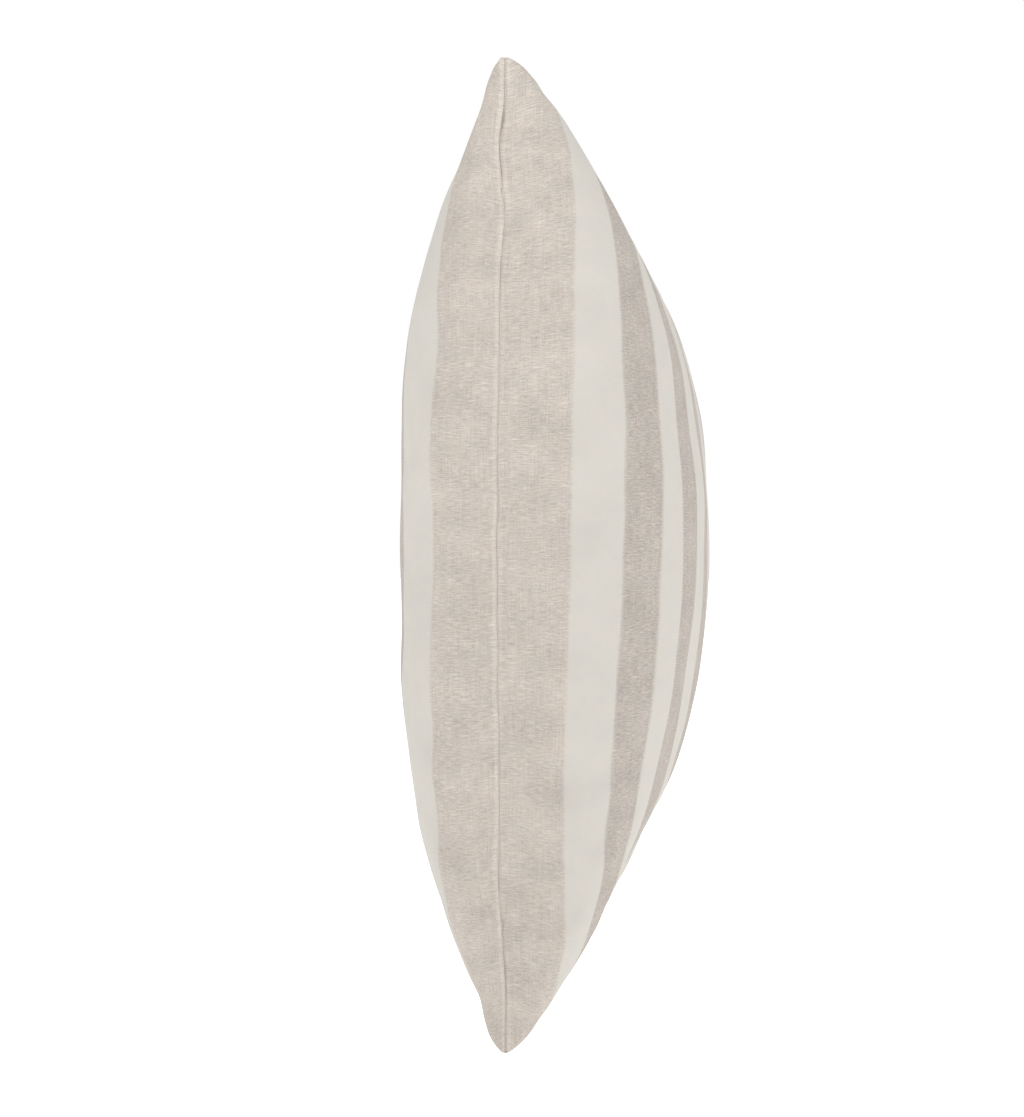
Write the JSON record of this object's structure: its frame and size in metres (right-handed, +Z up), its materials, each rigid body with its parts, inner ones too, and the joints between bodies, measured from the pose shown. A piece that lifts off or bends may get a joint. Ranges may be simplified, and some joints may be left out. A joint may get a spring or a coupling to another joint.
{
  "type": "throw pillow",
  "caption": "Square throw pillow with a vertically striped woven cover, a concealed zipper in its bottom edge and a removable stuffed insert.",
  "frame": {"origin": "centre of the footprint, level with the two lower corner tips", "axes": "+Z up along the stripes, +X across the width, front face towards -Y, back face towards +Y"},
  "size_m": [0.494, 0.161, 0.494],
  "materials": {
    "cover_linen": "matte slubbed weave with soft vertical stripes",
    "sewing_thread": "matte spun thread",
    "zipper_tape": "matte woven tape",
    "zipper_coil": "satin monofilament",
    "zipper_metal": "satin enamel",
    "label_satin": "satin ribbon",
    "insert_ticking": "matte plain weave",
    "polyester_fill": "fluffy fibre"
  },
  "bodies": {
    "root": {"cover_front_panel": "cover_linen", "cover_back_panel": "cover_linen", "cover_seam_stitching": "sewing_thread", "cover_overlock_thread": "sewing_thread", "zipper_tape_front": "zipper_tape", "zipper_tape_back": "zipper_tape", "zipper_coil_front": "zipper_coil", "zipper_coil_back": "zipper_coil", "zipper_top_stops": "zipper_metal", "zipper_bottom_stop": "zipper_metal", "zipper_tape_stitching": "sewing_thread", "care_label": "label_satin", "insert_label": "label_satin", "insert_front_ticking": "insert_ticking", "insert_back_ticking": "insert_ticking", "insert_seam_stitching": "sewing_thread", "insert_closing_stitches": "sewing_thread", "insert_fill": "polyester_fill"},
    "slider": {"zipper_slider_body": "zipper_metal"},
    "pull_tab": {"zipper_pull_tab": "zipper_metal"}
  },
  "joints": [
    {"name": "slider_travel", "type": "hinge", "parent": "root", "child": "slider", "pos_m": [0, 0.01, -0.76267], "axis": [0, 1, 0], "range_deg": [-21.8, 0]},
    {"name": "pull_swing", "type": "hinge", "parent": "slider", "child": "pull_tab", "pos_m": [0.15117, 0.01, 0.02238], "axis": [0, 1, 0], "range_deg": [-74, 95]}
  ]
}
